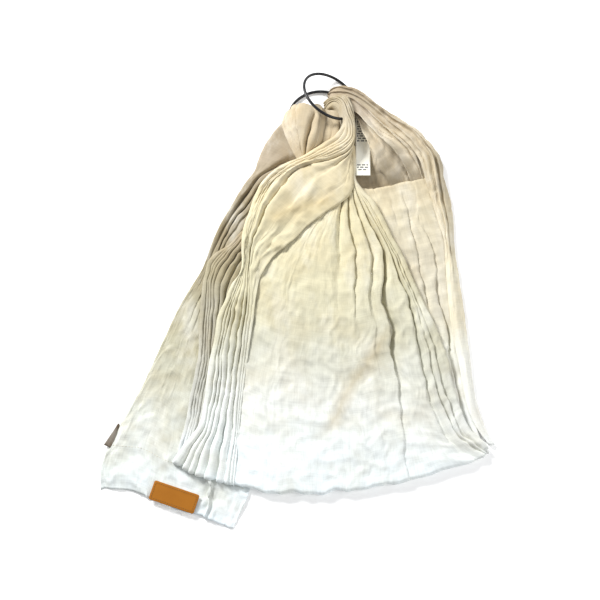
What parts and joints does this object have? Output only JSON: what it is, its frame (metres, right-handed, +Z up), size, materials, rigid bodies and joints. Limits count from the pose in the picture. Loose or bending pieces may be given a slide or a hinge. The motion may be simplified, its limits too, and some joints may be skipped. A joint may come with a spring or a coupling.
{
  "type": "ring sling baby carrier",
  "caption": "Ring sling for carrying a baby: a long linen cloth gathered through round metal rings, with a folded pouch, a spread tail, a leather patch and a sewn-in care label.",
  "frame": {"origin": "centre of the bounding box's bottom face, on the table that the sling lies on", "axes": "+Y along the sling towards the rings, +X across it towards the shoulder's outer edge, +Z up from the table"},
  "size_m": [0.504, 0.6238, 0.0513],
  "materials": {
    "tan_linen": "matte",
    "cream_linen": "matte",
    "white_linen": "matte",
    "thread": "matte",
    "label_satin": "satin",
    "leather": "satin",
    "ring_metal": "satin"
  },
  "bodies": {
    "sling": {"shoulder_loop": "tan_linen", "shoulder_panel": "tan_linen", "back_panel": "cream_linen", "back_left_pleats": "cream_linen", "seat_fold": "white_linen", "front_panel": "cream_linen", "front_left_pleats": "cream_linen", "front_right_pleats": "cream_linen", "front_strap": "cream_linen", "strap_roll": "tan_linen", "inner_fold": "tan_linen", "tail_wrap": "tan_linen", "tail_root": "tan_linen", "shoulder_stitch_row_1": "thread", "shoulder_stitch_row_2": "thread", "shoulder_stitch_row_3": "thread"},
    "upper_ring": {"upper_ring": "ring_metal"},
    "lower_ring": {"lower_ring": "ring_metal"},
    "tail": {"tail_panel": "white_linen", "tail_pleat_1": "tan_linen", "tail_pleat_2": "tan_linen", "tail_pleat_3": "tan_linen", "tail_hem": "white_linen", "tail_side_hem": "white_linen", "tail_hem_stitching": "thread", "leather_patch": "leather", "patch_stitching": "thread"},
    "label": {"care_label": "label_satin", "label_stitching": "thread"}
  },
  "joints": [
    {"name": "upper_ring_swing", "type": "hinge", "parent": "sling", "child": "upper_ring", "pos_m": [0.07647, 0.28619, 0.00281], "axis": [0.1724, 0.8491, -0.4993], "range_deg": [0, 25]},
    {"name": "lower_ring_swing", "type": "hinge", "parent": "sling", "child": "lower_ring", "pos_m": [0.04899, 0.28551, 0.00611], "axis": [0.8027, 0.5917, -0.0744], "range_deg": [0, 10]},
    {"name": "tail_swing", "type": "hinge", "parent": "sling", "child": "tail", "pos_m": [-0.025, 0.165, 0], "axis": [0, 0, -1], "range_deg": [0, 20]},
    {"name": "care_label_flap", "type": "hinge", "parent": "sling", "child": "label", "pos_m": [0.0935, 0.247, 0.02125], "axis": [-1, 0, 0], "range_deg": [0, 65]}
  ]
}
